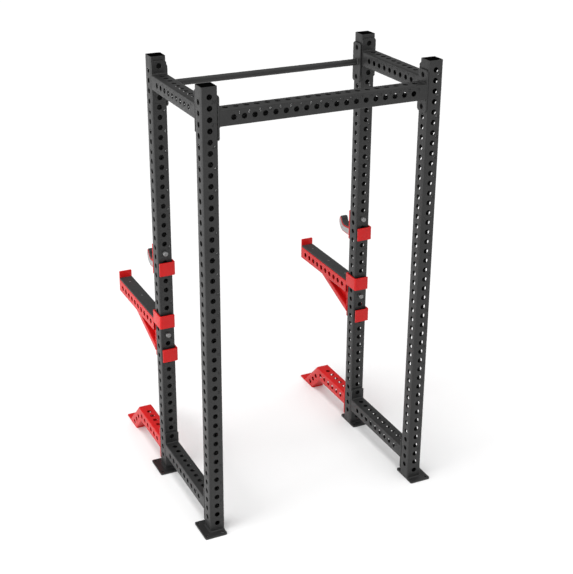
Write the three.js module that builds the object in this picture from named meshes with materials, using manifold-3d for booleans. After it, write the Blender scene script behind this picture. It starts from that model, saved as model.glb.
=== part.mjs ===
// A power cage: four square-tube uprights on floor plates, tied by bolted crossmembers, with a
// pull-up bar, two red front feet, and a pair each of J-cups and spotter arms that hang on pins
// in the front uprights. Millimetres, +Z up, floor at z = 0, front of the cage towards -Y.
// The origin is on the floor at the middle of the footprint.
import * as THREE from 'three';
import { mergeVertices } from 'three/addons/utils/BufferGeometryUtils.js';
import Module from 'manifold-3d';

const wasm = await Module();
wasm.setup();

// Driving dimensions.
const gap = 0.3;                  // clearance left between neighbouring pieces
const tubeSide = 75;
const tubeWall = 3;
const tubeCorner = 6;
const cageHeight = 2250;
const uprightX = 562.5;           // upright centres, left and right of the middle
const uprightY = 312.5;           // upright centres, in front of and behind the cage's middle
const holePitch = 50;
const holeRadius = 13;
const holeSides = 8;
const firstHoleZ = 55;            // lowest hole through the uprights' front and back faces

const flangeHeight = 200;
const flangeThickness = 8;
const flangeChamfer = 9;
const beamHoleRadius = 8;         // the two flange holes that open into a crossmember's tube
const upperBeamZ = 2105;          // back beam and pull-up bar
const upperSideBeamZ = 2130;
const lowerSideBeamZ = 130;
const beamTubeSide = 74.4;
const pullUpRadius = 16.5;

const floorPlateThickness = 10;
const floorPlateX = 115;
const floorPlateY = 150;
const floorPlateCorner = 8;
const anchorInset = 17.5;
const anchorRadius = 7;
const capDepth = 18;
const capWall = 4;
const capCorner = 3;

const footReach = 500;            // where the sloping leg's centre line would meet the floor
const footPlateThickness = 8;
const footPlateStart = 440;
const footPlateEnd = 600;
const footPlateCorner = 6;

const pinRadius = 12.5;
const pinSides = 24;
const pinEnd = 54;                // the pins stand 16.5 mm out of the upright's back face
const jCupPinZ = firstHoleZ + 24 * holePitch;
const armPinZ = firstHoleZ + 15 * holePitch;
const plateBack = -38;            // the hooks' mounting plates stand just in front of the upright
const plateFront = -46;
const plateCorner = 5;
const wrapSide = 46;              // outer face of a strap where it passes the upright's side
const wrapBack = 57.5;
const wrapThickness = 7;
const padWidth = 66;
const padInset = 3;               // a pad is this much shorter than its strap at each end
const padClearance = 2;           // between a pad and the upright

const cup = {
  bottom: 1120,
  top: 1284,
  strapBottom: 1140,
  strapTop: 1210,
  x: -5,
  coreWidth: 35,
  cheekThickness: 2,
  cheekInset: 6,
  outer: { forward: 146, z: 1172, radius: 52 },
  saddle: { forward: 142, z: 1193, radius: 32 },
  kneeForward: 85,
  kneeZ: 1165,
  backZ: 1166,
  tipForward: 190,
  tipZ: 1195.5,
  linerThickness: 10,
  linerTip: [[186, 1198], [184, 1201], [172, 1202]],
};

const arm = {
  side: 70,
  corner: 4,
  x: 11,
  z: 836,
  reach: 587,
  bottom: 657,
  top: 920,
  upperStrapBottom: 850,
  upperTail: 33,
  lowerStrapTop: 728,
  lowerTail: 36,
  stopThickness: 8,
  stopTop: 918,
  linerThickness: 10,
  linerStart: 50,
  braceFront: 352,
  braceBottom: 685,
  braceWidth: 60,
  braceDepth: 30,
  webThickness: 7,
};

// The feet reach further forward than the floor plates reach back, so the cage's middle stands
// behind the origin.
const frontReach = uprightY + footPlateEnd;
const backReach = uprightY + floorPlateY / 2;
const cageCentreY = (frontReach - backReach) / 2;

const half = tubeSide / 2;
const charcoal = [0x3a3b3d, 0.5, 0.3];
const black = [0x0b0b0c, 0.7, 0];
const linerGrey = [0x26272a, 0.6, 0];
const red = [0xb0141c, 0.4, 0.2];
const zinc = [0x9a9c9e, 0.35, 0.9];
const brushed = [0xb4b6b8, 0.4, 0.9];

// --- solids ---------------------------------------------------------------------------------

function solidFrom(geometry) {
  const bare = geometry.clone();
  bare.deleteAttribute('normal');
  bare.deleteAttribute('uv');
  const merged = mergeVertices(bare, 1e-4);
  const vertProperties = new Float32Array(merged.attributes.position.array);
  const triVerts = new Uint32Array(merged.index.array);
  return new wasm.Manifold(new wasm.Mesh({ numProp: 3, vertProperties, triVerts }));
}

function geometryFrom(solid) {
  const { vertProperties, triVerts, numProp } = solid.getMesh();
  const positions = [];
  for (let start = 0; start < vertProperties.length; start += numProp) {
    positions.push(...vertProperties.subarray(start, start + 3));
  }
  const geometry = new THREE.BufferGeometry();
  geometry.setAttribute('position', new THREE.Float32BufferAttribute(positions, 3));
  geometry.setIndex([...triVerts]);
  return geometry;
}

function cut(body, ...cutters) {
  return cutters.reduce((left, cutter) => left.subtract(solidFrom(cutter)), body);
}

function join(...geometries) {
  const [first, ...others] = geometries.map(solidFrom);
  return others.reduce((sum, solid) => sum.add(solid), first);
}

// --- outlines and prisms --------------------------------------------------------------------

function outline(points) {
  return new THREE.Shape(points.map(([a, b]) => new THREE.Vector2(a, b)));
}

function roundedRectangle(width, height, radius, target = new THREE.Shape()) {
  const x = width / 2;
  const y = height / 2;
  target.moveTo(-x + radius, -y);
  target.lineTo(x - radius, -y);
  target.absarc(x - radius, -y + radius, radius, -Math.PI / 2, 0);
  target.absarc(x - radius, y - radius, radius, 0, Math.PI / 2);
  target.absarc(-x + radius, y - radius, radius, Math.PI / 2, Math.PI);
  target.absarc(-x + radius, -y + radius, radius, Math.PI, Math.PI * 1.5);
  return target;
}

function chamferedRectangle(width, height, chamfer) {
  const x = width / 2;
  const y = height / 2;
  return outline([
    [-x + chamfer, -y], [x - chamfer, -y], [x, -y + chamfer], [x, y - chamfer],
    [x - chamfer, y], [-x + chamfer, y], [-x, y - chamfer], [-x, -y + chamfer],
  ]);
}

function squareTube(side, wall, corner) {
  const section = roundedRectangle(side, side, corner);
  const bore = side - 2 * wall;
  section.holes.push(roundedRectangle(bore, bore, corner - wall, new THREE.Path()));
  return section;
}

// A prism whose length lies along one axis, centred on `centre`. Along x the outline is drawn
// in (y, z), along y in (x, z), along z in (x, y).
const xAxis = new THREE.Vector3(1, 0, 0);
const yAxis = new THREE.Vector3(0, 1, 0);
const zAxis = new THREE.Vector3(0, 0, 1);
const turns = {
  x: new THREE.Matrix4().makeBasis(yAxis, zAxis, xAxis),
  y: new THREE.Matrix4().makeBasis(xAxis, zAxis, yAxis.clone().negate()),
  z: new THREE.Matrix4(),
};

function prism(shape, axis, length, centre = [0, 0, 0], curveSegments = 3) {
  const geometry = new THREE.ExtrudeGeometry(shape, {
    depth: length,
    bevelEnabled: false,
    curveSegments,
  });
  geometry.translate(0, 0, -length / 2);
  geometry.applyMatrix4(turns[axis]);
  return geometry.translate(...centre);
}

function box(from, to) {
  const size = to.map((value, i) => value - from[i]);
  const middle = to.map((value, i) => (value + from[i]) / 2);
  return new THREE.BoxGeometry(...size).translate(...middle);
}

function rod(radius, sides, axis, length, centre = [0, 0, 0]) {
  const geometry = new THREE.CylinderGeometry(radius, radius, length, sides);
  if (axis === 'x') geometry.rotateZ(Math.PI / 2);
  if (axis === 'z') geometry.rotateX(Math.PI / 2);
  return geometry.translate(...centre);
}

// A cutter for a round hole: a prism drawn around the circle, so the hole is never too tight.
function drill(radius, sides, axis, length, centre) {
  return rod(radius / Math.cos(Math.PI / sides), sides, axis, length, centre);
}

// --- scene graph ----------------------------------------------------------------------------

const cage = new THREE.Group();
cage.position.y = cageCentreY;

function addPiece(parent, name, shape, [color, roughness, metalness], place = [0, 0, 0], turn = 0) {
  const geometry = shape instanceof THREE.BufferGeometry ? shape : geometryFrom(shape);
  const material = new THREE.MeshStandardMaterial({ color, roughness, metalness });
  const mesh = new THREE.Mesh(geometry, material);
  mesh.name = name;
  mesh.position.set(...place);
  mesh.rotation.z = turn;
  parent.add(mesh);
}

// --- uprights, floor plates and end caps ----------------------------------------------------

function upright() {
  const bottom = floorPlateThickness + gap;
  const length = cageHeight - bottom;
  const section = squareTube(tubeSide, tubeWall, tubeCorner);
  const tube = prism(section, 'z', length, [0, 0, bottom + length / 2]);
  const holes = [];
  for (let z = firstHoleZ; z < cageHeight - holePitch / 2; z += holePitch) {
    holes.push(drill(holeRadius, holeSides, 'y', 2 * tubeSide, [0, 0, z]));
  }
  return cut(solidFrom(tube), ...holes);
}

// The floor plate is flush with the tube on the cage's inner side and stands out on the other.
function floorPlate(side) {
  const middle = side * (floorPlateX / 2 - half);
  const plate = prism(
    roundedRectangle(floorPlateX, floorPlateY, floorPlateCorner), 'z', floorPlateThickness,
    [middle, 0, floorPlateThickness / 2],
  );
  const holes = [];
  for (const x of [-1, 1]) {
    for (const y of [-1, 1]) {
      const place = [
        middle + x * (floorPlateX / 2 - anchorInset),
        y * (floorPlateY / 2 - anchorInset),
        0,
      ];
      holes.push(drill(anchorRadius, holeSides, 'z', 3 * floorPlateThickness, place));
    }
  }
  return cut(solidFrom(plate), ...holes);
}

// A plastic plug pressed into the tube's top, hollow underneath.
function endCap() {
  const width = tubeSide - 2 * tubeWall - 2 * gap;
  const plug = prism(
    roundedRectangle(width, width, capCorner), 'z', capDepth,
    [0, 0, cageHeight - capDepth / 2],
  );
  const inside = width / 2 - capWall;
  const hollow = box(
    [-inside, -inside, cageHeight - 2 * capDepth],
    [inside, inside, cageHeight - capWall],
  );
  return cut(solidFrom(plug), hollow);
}

for (const [sideName, side] of [['left', -1], ['right', 1]]) {
  for (const [endName, end] of [['front', -1], ['back', 1]]) {
    const place = [side * uprightX, end * uprightY, 0];
    const corner = `${endName}_${sideName}`;
    addPiece(cage, `${corner}_upright`, upright(), charcoal, place);
    addPiece(cage, `${corner}_floor_plate`, floorPlate(side), charcoal, place);
    addPiece(cage, `${corner}_end_cap`, endCap(), black, place);
  }
}

// --- crossmembers and pull-up bar -----------------------------------------------------------

// A bolting flange, standing square to x with its outer face at `outerX`. Its outer two holes
// take the bolts, and its inner two open into the crossmember's tube.
function flange(outerX, inward) {
  const centreX = outerX + inward * flangeThickness / 2;
  const plate = prism(
    chamferedRectangle(tubeSide, flangeHeight, flangeChamfer), 'x', flangeThickness, [centreX, 0, 0],
  );
  const holes = [-1.5, -0.5, 0.5, 1.5].map((step) => {
    const radius = Math.abs(step) < 1 ? beamHoleRadius : holeRadius;
    return drill(radius, holeSides, 'x', 4 * flangeThickness, [outerX, 0, step * holePitch]);
  });
  return cut(solidFrom(plate), ...holes);
}

// A bar welded between two flanges, along x, filling the space between two uprights.
function crossmember(space, barOf) {
  const reach = space / 2 - gap;
  const bar = solidFrom(barOf(2 * (reach - flangeThickness)));
  return bar.add(flange(-reach, 1)).add(flange(reach, -1));
}

const tubeBar = (length) => prism(squareTube(beamTubeSide, tubeWall, tubeCorner), 'x', length);
const roundBar = (length) => rod(pullUpRadius, pinSides, 'x', length);
const wideSpace = 2 * uprightX - tubeSide;
const deepSpace = 2 * uprightY - tubeSide;

addPiece(
  cage, 'back_top_beam', crossmember(wideSpace, tubeBar), charcoal, [0, uprightY, upperBeamZ],
);
addPiece(
  cage, 'pull_up_bar', crossmember(wideSpace, roundBar), charcoal, [0, -uprightY, upperBeamZ],
);
for (const [sideName, side] of [['left', -1], ['right', 1]]) {
  for (const [levelName, z] of [['top', upperSideBeamZ], ['bottom', lowerSideBeamZ]]) {
    addPiece(
      cage, `${sideName}_${levelName}_beam`, crossmember(deepSpace, tubeBar), charcoal,
      [side * uprightX, 0, z], Math.PI / 2,
    );
  }
}

// --- front feet -----------------------------------------------------------------------------

// Side outline of the foot's bent tube, `inset` inside its outer faces, drawn in (y, z). It runs
// from the flange straight forward and then down at 45 degrees.
function footOutline(inset, startY, endZ) {
  const reach = half - inset;
  const slope = reach * Math.SQRT2;
  const high = lowerSideBeamZ + reach;
  const low = lowerSideBeamZ - reach;
  return outline([
    [startY, low],
    [startY, high],
    [-(footReach + slope - high), high],
    [-(footReach + slope - endZ), endZ],
    [-(footReach - slope - endZ), endZ],
    [-(footReach - slope - low), low],
  ]);
}

function footFrame() {
  const flangeBack = -half - gap;
  const flangeFront = flangeBack - flangeThickness;
  const bottom = footPlateThickness + gap;
  const outside = prism(footOutline(0, flangeFront, bottom), 'x', tubeSide);
  const inside = prism(
    footOutline(tubeWall, flangeFront - gap, -footPlateThickness), 'x', tubeSide - 2 * tubeWall,
  );
  const tube = cut(solidFrom(outside), inside);
  const plate = prism(
    chamferedRectangle(tubeSide, flangeHeight, flangeChamfer), 'y', flangeThickness,
    [0, (flangeBack + flangeFront) / 2, lowerSideBeamZ],
  );
  const boltHoles = [-1.5, 1.5].map((step) => drill(
    holeRadius, holeSides, 'y', 4 * flangeThickness,
    [0, flangeBack, lowerSideBeamZ + step * holePitch],
  ));
  return tube.add(cut(solidFrom(plate), ...boltHoles));
}

function footPlate() {
  const length = footPlateEnd - footPlateStart;
  return prism(
    roundedRectangle(tubeSide, length, footPlateCorner), 'z', footPlateThickness,
    [0, -(footPlateStart + footPlateEnd) / 2, footPlateThickness / 2],
  );
}

for (const [sideName, side] of [['left', -1], ['right', 1]]) {
  const place = [side * uprightX, -uprightY, 0];
  addPiece(cage, `${sideName}_foot_frame`, footFrame(), red, place);
  addPiece(cage, `${sideName}_foot_plate`, footPlate(), red, place);
}

// --- pieces shared by the J-cups and the spotter arms ---------------------------------------

// A strap that leaves the mounting plate, passes one side of the upright and hooks behind it.
// `side` is the side that it passes, and `tail` is how far it then reaches across the back.
function wrapStrap(side, bottom, top, tail) {
  const outer = side * wrapSide;
  const inner = side * (wrapSide - wrapThickness + gap);
  const strap = outline([
    [0, plateFront], [outer, plateFront], [outer, wrapBack], [-side * tail, wrapBack],
    [-side * tail, wrapBack - wrapThickness], [inner, wrapBack - wrapThickness],
    [inner, plateBack], [0, plateBack],
  ]);
  return prism(strap, 'z', top - bottom, [0, 0, (bottom + top) / 2]);
}

// The pad inside a strap's hooked end, behind the upright and one millimetre off its middle.
function wrapPad(side, bottom, top) {
  return box(
    [side - padWidth / 2, half + padClearance, bottom + padInset],
    [side + padWidth / 2, wrapBack - wrapThickness - gap, top - padInset],
  );
}

function mountingPlate(bottom, top) {
  return prism(
    roundedRectangle(tubeSide, top - bottom, plateCorner), 'y', plateBack - plateFront,
    [0, (plateBack + plateFront) / 2, (bottom + top) / 2],
  );
}

function pinHole(z) {
  return drill(pinRadius + gap, pinSides, 'y', 4 * flangeThickness, [0, plateFront, z]);
}

function lockingPin(z) {
  return rod(pinRadius, pinSides, 'y', pinEnd - plateFront, [0, (pinEnd + plateFront) / 2, z]);
}

// --- J-cups ---------------------------------------------------------------------------------

const hookBack = -plateFront + gap;
const crownAngle = THREE.MathUtils.degToRad(14);  // how far above level the outer arc ends
const tipAngle = THREE.MathUtils.degToRad(6);     // how far below level the saddle's arc ends
const hookCurveSegments = 5;

// Continues an outline in (y, z) along an arc, given in (forward, up) with angles from forward.
function forwardArc(shape, centre, radius, from, to) {
  shape.absarc(-centre.forward, centre.z, radius, Math.PI - from, Math.PI - to, to > from);
}

// The hook's side, `inset` inside the core's outline: a round outer edge that rises to the tip,
// and a saddle that the bar rests in.
function hookOutline(inset) {
  const shape = new THREE.Shape();
  shape.moveTo(-hookBack, cup.bottom + inset);
  forwardArc(shape, cup.outer, cup.outer.radius - inset, -Math.PI / 2, crownAngle);
  shape.lineTo(-cup.tipForward + inset / 2, cup.tipZ - inset);
  forwardArc(shape, cup.saddle, cup.saddle.radius + inset, -tipAngle, -Math.PI / 2);
  shape.lineTo(-cup.kneeForward, cup.kneeZ - inset);
  shape.lineTo(-hookBack, cup.backZ - inset);
  return shape;
}

// The liner lies on the saddle's floor and climbs the inside of the hook's tip.
function linerOutline() {
  const shape = new THREE.Shape();
  shape.moveTo(-hookBack, cup.backZ + gap);
  shape.lineTo(-cup.kneeForward, cup.kneeZ + gap);
  forwardArc(shape, cup.saddle, cup.saddle.radius - gap, -Math.PI / 2, -tipAngle);
  cup.linerTip.forEach(([forward, z]) => shape.lineTo(-forward, z));
  forwardArc(shape, cup.saddle, cup.saddle.radius - cup.linerThickness, 0, -Math.PI / 2);
  shape.lineTo(-cup.kneeForward, cup.kneeZ + cup.linerThickness);
  shape.lineTo(-hookBack, cup.backZ + cup.linerThickness);
  return shape;
}

function cupBracket() {
  const bracket = join(
    mountingPlate(cup.bottom, cup.top),
    wrapStrap(-1, cup.strapBottom, cup.strapTop, half),
  );
  return cut(bracket, pinHole(jCupPinZ));
}

function addJCup(parent, prefix) {
  const sideOn = (shape, width, x) => prism(shape, 'x', width, [x, 0, 0], hookCurveSegments);
  const cheekOffset = (cup.coreWidth + cup.cheekThickness) / 2 + gap;
  addPiece(parent, `${prefix}_bracket`, cupBracket(), red);
  addPiece(parent, `${prefix}_hook`, sideOn(hookOutline(0), cup.coreWidth, cup.x), red);
  addPiece(parent, `${prefix}_liner`, sideOn(linerOutline(), cup.coreWidth, cup.x), linerGrey);
  for (const [name, side] of [['left', -1], ['right', 1]]) {
    const cheekX = cup.x + side * cheekOffset;
    const cheek = sideOn(hookOutline(cup.cheekInset), cup.cheekThickness, cheekX);
    addPiece(parent, `${prefix}_${name}_cheek`, cheek, brushed);
  }
  addPiece(parent, `${prefix}_pin`, lockingPin(jCupPinZ), zinc);
  addPiece(parent, `${prefix}_pad`, wrapPad(-1, cup.strapBottom, cup.strapTop), black);
}

// --- spotter arms ---------------------------------------------------------------------------

function armBracket() {
  const bracket = join(
    mountingPlate(arm.bottom, arm.top),
    wrapStrap(1, arm.upperStrapBottom, arm.top, arm.upperTail),
    wrapStrap(-1, arm.bottom, arm.lowerStrapTop, arm.lowerTail),
  );
  return cut(bracket, pinHole(armPinZ));
}

function armBeam() {
  const length = arm.reach - hookBack;
  return prism(
    squareTube(arm.side, tubeWall, arm.corner), 'y', length,
    [arm.x, -(hookBack + arm.reach) / 2, arm.z],
  );
}

// Side outline of the brace's sloping tube, `inset` inside its faces and stretched by `over` past
// the mounting plate and the beam that close its ends. Drawn in (y, z).
const braceTop = arm.z - arm.side / 2 - gap;
const braceSlope = (braceTop - arm.braceBottom) / (arm.braceFront - hookBack);
const slopeStretch = Math.hypot(1, braceSlope);   // height across the tube for each mm of depth

function braceOutline(inset, over) {
  const lower = arm.braceBottom + inset * slopeStretch;
  const upper = arm.braceBottom + (arm.braceDepth - inset) * slopeStretch;
  const back = hookBack - over;
  const top = braceTop + over;
  const forwardAt = (start) => hookBack + (top - start) / braceSlope;
  return outline([
    [-back, upper - over * braceSlope], [-back, lower - over * braceSlope],
    [-forwardAt(lower), top], [-forwardAt(upper), top],
  ]);
}

// A sloping tube under the beam, with a triangular web standing on it.
function armBrace() {
  const seat = arm.braceBottom + (arm.braceDepth - tubeWall / 2) * slopeStretch;
  const web = outline([
    [-hookBack, braceTop], [-hookBack, seat],
    [-hookBack - (braceTop - seat) / braceSlope, braceTop],
  ]);
  const across = (shape, width) => prism(shape, 'x', width, [arm.x, 0, 0]);
  const hollow = across(braceOutline(tubeWall, tubeWall), arm.braceWidth - 2 * tubeWall);
  const tube = cut(solidFrom(across(braceOutline(0, 0), arm.braceWidth)), hollow);
  return tube.add(solidFrom(across(web, arm.webThickness)));
}

function armEndStop() {
  const low = arm.z - arm.side / 2;
  return prism(
    roundedRectangle(arm.side, arm.stopTop - low, plateCorner), 'y', arm.stopThickness,
    [arm.x, -arm.reach - gap - arm.stopThickness / 2, (low + arm.stopTop) / 2],
  );
}

function armLiner() {
  const reach = arm.side / 2;
  const high = arm.z + reach;
  return box(
    [arm.x - reach, -arm.reach, high + gap],
    [arm.x + reach, -arm.linerStart, high + arm.linerThickness],
  );
}

function addSpotterArm(parent, prefix) {
  addPiece(parent, `${prefix}_bracket`, armBracket(), red);
  addPiece(parent, `${prefix}_beam`, armBeam(), red);
  addPiece(parent, `${prefix}_end_stop`, armEndStop(), red);
  addPiece(parent, `${prefix}_liner`, armLiner(), linerGrey);
  addPiece(parent, `${prefix}_brace`, armBrace(), red);
  addPiece(parent, `${prefix}_pin`, lockingPin(armPinZ), zinc);
  addPiece(parent, `${prefix}_upper_pad`, wrapPad(1, arm.upperStrapBottom, arm.top), black);
  addPiece(parent, `${prefix}_lower_pad`, wrapPad(-1, arm.bottom, arm.lowerStrapTop), black);
}

for (const [sideName, side] of [['left', -1], ['right', 1]]) {
  const station = new THREE.Group();
  station.position.set(side * uprightX, -uprightY, 0);
  cage.add(station);
  addJCup(station, `${sideName}_j_cup`);
  addSpotterArm(station, `${sideName}_arm`);
}

const powerCage = new THREE.Group();
powerCage.add(cage);

export default powerCage;
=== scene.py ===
# A power cage with drilled uprights, red front feet, J-cups and spotter arms, built around its
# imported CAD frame. Shapes are worked out in millimetres and become metres when a piece is made.
# The cage's front is towards -Y, and the camera looks at it from behind and from its right.
import math

import bmesh
import bpy
from mathutils import Matrix, Vector
from mathutils.geometry import tessellate_polygon


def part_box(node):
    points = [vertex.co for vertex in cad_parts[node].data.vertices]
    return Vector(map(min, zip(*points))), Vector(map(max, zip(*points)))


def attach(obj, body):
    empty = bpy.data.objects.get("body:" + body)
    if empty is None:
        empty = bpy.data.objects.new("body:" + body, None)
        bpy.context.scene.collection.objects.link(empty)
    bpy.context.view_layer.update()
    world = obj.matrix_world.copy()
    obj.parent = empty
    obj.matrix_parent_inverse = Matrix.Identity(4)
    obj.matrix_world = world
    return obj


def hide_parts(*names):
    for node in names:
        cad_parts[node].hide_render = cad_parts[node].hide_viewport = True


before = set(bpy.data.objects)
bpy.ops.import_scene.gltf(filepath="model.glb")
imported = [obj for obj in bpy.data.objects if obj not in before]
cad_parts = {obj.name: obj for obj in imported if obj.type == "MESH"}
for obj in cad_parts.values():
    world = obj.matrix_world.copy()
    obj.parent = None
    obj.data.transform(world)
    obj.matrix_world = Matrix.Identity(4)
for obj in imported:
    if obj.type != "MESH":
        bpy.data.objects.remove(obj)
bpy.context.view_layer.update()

# --- driving dimensions, millimetres --------------------------------------------------------

HEIGHT = 2250
TUBE = 75
WALL = 3
TUBE_CORNER = 6
INNER_CORNER = 1.5                # the least that a tube is rounded inside
CORNER_STEPS = 3
PITCH = 50                        # between the holes of a row
HOLE_RADIUS = 13
HOLE_CHAMFER = 0.3
CELL_STEPS = 6                    # levels that one hole's cell is divided into
STEP = PITCH / CELL_STEPS
GAP = 0.3                         # between pieces that lie against each other
EDGE = 0.8                        # easing of a steel plate's edges
SOFT_EDGE = 1.2                   # and of a plastic one's


# --- camera ---------------------------------------------------------------------------------

def add_camera():
    """Its place and turn were fitted to the holes in the photo's uprights."""
    azimuth = math.radians(24.36)
    elevation = math.radians(22.37)
    roll = -0.0043
    forward = Vector((
        -math.sin(azimuth) * math.cos(elevation),
        -math.cos(azimuth) * math.cos(elevation),
        -math.sin(elevation),
    ))
    camera = bpy.data.objects.new("camera", bpy.data.cameras.new("camera"))
    camera.location = (2.3927, 5.1099, 3.510)
    turn = forward.to_track_quat("-Z", "Y").to_matrix() @ Matrix.Rotation(roll, 3, "Z")
    camera.rotation_euler = turn.to_euler()
    camera.data.sensor_fit = "HORIZONTAL"
    camera.data.sensor_width = 36
    camera.data.lens = 74.1
    camera.data.shift_x = 0.056
    camera.data.shift_y = -0.067
    camera.data.clip_end = 100
    bpy.context.scene.collection.objects.link(camera)
    bpy.context.scene.camera = camera


add_camera()


# --- materials ------------------------------------------------------------------------------

def new_material(name):
    material = bpy.data.materials.new(name)
    material.use_nodes = True
    tree = material.node_tree
    return material, tree, tree.nodes["Principled BSDF"]


def object_noise(tree, scale, detail=2.0, stretch=(1, 1, 1)):
    """Noise in the piece's own coordinates, `scale` cells to the metre."""
    where = tree.nodes.new("ShaderNodeTexCoord")
    mapping = tree.nodes.new("ShaderNodeMapping")
    mapping.inputs["Scale"].default_value = stretch
    noise = tree.nodes.new("ShaderNodeTexNoise")
    noise.inputs["Scale"].default_value = scale
    noise.inputs["Detail"].default_value = detail
    tree.links.new(where.outputs["Object"], mapping.inputs["Vector"])
    tree.links.new(mapping.outputs["Vector"], noise.inputs["Vector"])
    return noise.outputs["Fac"]


def ramp(tree, value, stops):
    """A colour ramp with stops of (place, grey or colour)."""
    node = tree.nodes.new("ShaderNodeValToRGB")
    elements = node.color_ramp.elements
    while len(elements) < len(stops):
        elements.new(0.5)
    for element, (place, colour) in zip(elements, stops):
        element.position = place
        rgb = (colour,) * 3 if isinstance(colour, (int, float)) else colour
        element.color = (*rgb, 1)
    tree.links.new(value, node.inputs["Fac"])
    return node.outputs["Color"]


def bump(tree, shader, height, distance, strength, under=None):
    node = tree.nodes.new("ShaderNodeBump")
    node.inputs["Distance"].default_value = distance
    node.inputs["Strength"].default_value = strength
    tree.links.new(height, node.inputs["Height"])
    if under is not None:
        tree.links.new(under, node.inputs["Normal"])
    tree.links.new(node.outputs["Normal"], shader.inputs["Normal"])
    return node.outputs["Normal"]


def powder_coat(name, dark, light, rough, gloss):
    """Baked powder paint: an even colour with faint clouding, and a fine pebbled surface."""
    material, tree, shader = new_material(name)
    clouds = object_noise(tree, 9, 4)
    tree.links.new(ramp(tree, clouds, [(0.3, dark), (0.7, light)]), shader.inputs["Base Color"])
    patches = object_noise(tree, 35, 3)
    sheen = ramp(tree, patches, [(0.25, rough - 0.05), (0.75, rough + 0.06)])
    tree.links.new(sheen, shader.inputs["Roughness"])
    pebble = bump(tree, shader, object_noise(tree, 1400, 2), 0.0004, 0.25)
    bump(tree, shader, object_noise(tree, 260, 1), 0.0006, 0.12, pebble)
    shader.inputs["Specular IOR Level"].default_value = gloss
    return material


def brushed(name, dark, light, rough, stretch):
    """Bare or plated steel with fine scratches along one direction."""
    material, tree, shader = new_material(name)
    lines = object_noise(tree, 500, 3, stretch)
    tree.links.new(ramp(tree, lines, [(0.3, dark), (0.7, light)]), shader.inputs["Base Color"])
    stains = object_noise(tree, 40, 4)
    sheen = ramp(tree, stains, [(0.3, rough - 0.07), (0.7, rough + 0.1)])
    tree.links.new(sheen, shader.inputs["Roughness"])
    bump(tree, shader, lines, 0.0002, 0.3)
    shader.inputs["Metallic"].default_value = 0.85
    return material


def plastic(name, dark, light, rough, grain, depth, gloss):
    """Plastic, or blackened steel, with a matt grain `depth` metres deep."""
    material, tree, shader = new_material(name)
    clouds = object_noise(tree, 60, 3)
    tree.links.new(ramp(tree, clouds, [(0.3, dark), (0.7, light)]), shader.inputs["Base Color"])
    fine = object_noise(tree, grain, 3)
    sheen = ramp(tree, fine, [(0.3, rough - 0.08), (0.7, rough + 0.08)])
    tree.links.new(sheen, shader.inputs["Roughness"])
    bump(tree, shader, fine, depth, 0.4)
    shader.inputs["Specular IOR Level"].default_value = gloss
    return material


CHARCOAL = powder_coat(
    "charcoal_powder_coat", dark=0.012, light=0.0165, rough=0.42, gloss=0.40)
RED = powder_coat(
    "red_powder_coat", dark=(0.47, 0.004, 0.004), light=(0.53, 0.007, 0.007), rough=0.38, gloss=0.28)
STEEL = brushed("brushed_steel", dark=0.30, light=0.42, rough=0.38, stretch=(1, 0.02, 1))
ZINC = brushed("zinc_plating", dark=0.17, light=0.26, rough=0.36, stretch=(1, 1, 1))
LINER = plastic(
    "liner_plastic", dark=0.020, light=0.028, rough=0.60, grain=700, depth=0.0003, gloss=0.3)
BLACK = plastic(
    "black_plastic", dark=0.001, light=0.002, rough=0.75, grain=900, depth=0.0003, gloss=0.0)
BOLT = plastic(
    "black_oxide", dark=0.0015, light=0.003, rough=0.55, grain=1200, depth=0.0001, gloss=0.08)


# --- meshes ---------------------------------------------------------------------------------

MM_PER_METRE = 1000
WELD = 0.01                       # points closer than this are one, in millimetres
SHARP_ANGLE = 35                  # degrees between faces that aren't shaded as one


class Shell:
    """Points in millimetres and the faces between them, gathered into one piece."""

    def __init__(self):
        self.points = []
        self.faces = []

    def add(self, shape, place=Matrix()):
        points, faces = shape
        start = len(self.points)
        self.points += [place @ Vector(point) for point in points]
        self.faces += [[start + i for i in face] for face in faces]
        return self

    def shape(self):
        return self.points, self.faces


def to_mesh(name, shape, scale):
    points, faces = shape
    mesh = bpy.data.meshes.new(name)
    mesh.from_pydata([Vector(point) * scale for point in points], [], faces)
    work = bmesh.new()
    work.from_mesh(mesh)
    bmesh.ops.remove_doubles(work, verts=work.verts, dist=WELD * scale)
    bmesh.ops.recalc_face_normals(work, faces=work.faces)
    work.to_mesh(mesh)
    work.free()
    return mesh


def make_piece(name, shape, material, body, replaces=(), place=Matrix()):
    """One shown piece, in metres, riding on a CAD body and standing for its CAD nodes."""
    placed = Shell().add(shape, place).shape()
    mesh = to_mesh(name, placed, 1 / MM_PER_METRE)
    mesh.materials.append(material)
    mesh.shade_smooth()
    mesh.set_sharp_from_angle(angle=math.radians(SHARP_ANGLE))
    piece = bpy.data.objects.new(name, mesh)
    bpy.context.scene.collection.objects.link(piece)
    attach(piece, body)
    if replaces:
        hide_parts(*replaces)
    return piece


def frame_of(p, q, s, origin=(0, 0, 0)):
    """The matrix that lays a shape's own p, q and s axes along three directions."""
    turn = Matrix((Vector(p), Vector(q), Vector(s))).transposed().to_4x4()
    return Matrix.Translation(Vector(origin)) @ turn


X, Y, Z = (1, 0, 0), (0, 1, 0), (0, 0, 1)
FORWARD = (0, -1, 0)


def move(x, y, z):
    return Matrix.Translation(Vector((x, y, z)))


# --- outlines -------------------------------------------------------------------------------

LEAST_MITRE = 0.4                 # keeps an offset corner from shooting out where it is sharp


def circle(radius, sides, centre=(0, 0)):
    return [
        (centre[0] + radius * math.cos(2 * math.pi * i / sides),
         centre[1] + radius * math.sin(2 * math.pi * i / sides))
        for i in range(sides)
    ]


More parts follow.
